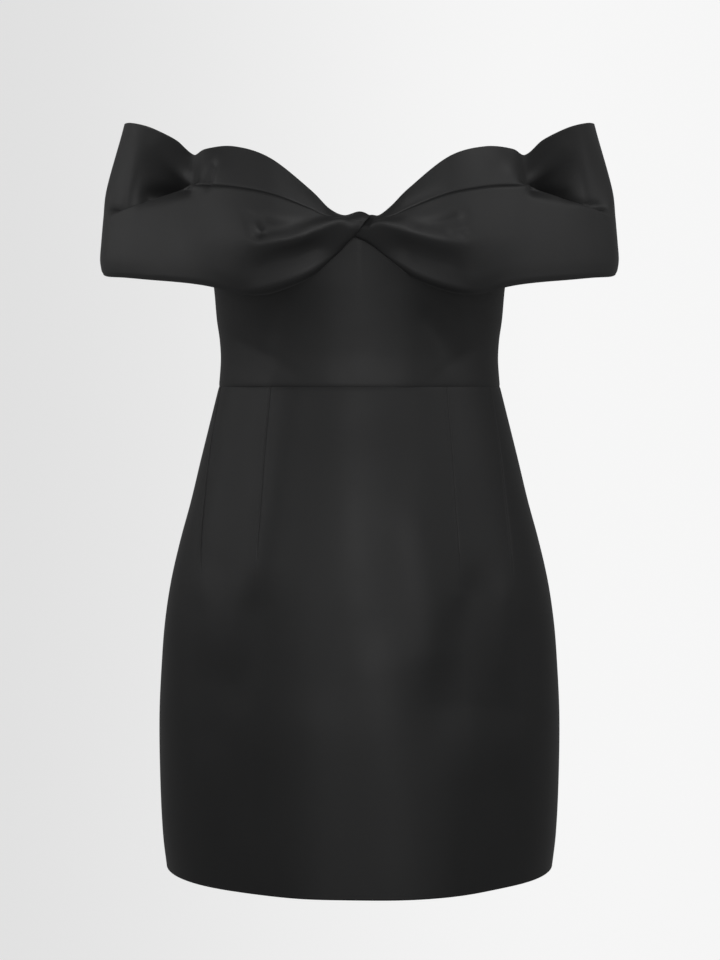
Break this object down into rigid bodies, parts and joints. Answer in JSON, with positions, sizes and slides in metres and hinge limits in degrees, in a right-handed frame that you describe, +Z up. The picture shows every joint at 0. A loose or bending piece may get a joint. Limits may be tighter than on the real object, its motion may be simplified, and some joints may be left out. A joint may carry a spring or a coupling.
{
  "type": "off-shoulder mini dress",
  "caption": "Hollow worn-form mini dress: fitted bodice, twisted drape over the bust running into wide off-shoulder sleeve bands, darted tulip skirt with a level hem.",
  "frame": {"origin": "centre of the waist seam, where the wearer's waist carries the dress", "axes": "+Z up, front of the dress towards -Y, the wearer's left side towards +X"},
  "size_m": [0.47, 0.2689, 0.6754],
  "materials": {
    "bodice_satin": "heavy black satin, soft sheen",
    "skirt_satin": "heavy black satin, soft sheen",
    "drape_satin": "heavy black satin, soft sheen"
  },
  "bodies": {
    "root": {"bodice_front": "bodice_satin", "bodice_back_left": "bodice_satin", "bodice_back_right": "bodice_satin", "skirt_front": "skirt_satin", "skirt_back_left": "skirt_satin", "skirt_back_right": "skirt_satin", "drape_sleeve_left": "drape_satin", "drape_sleeve_right": "drape_satin"}
  },
  "joints": []
}
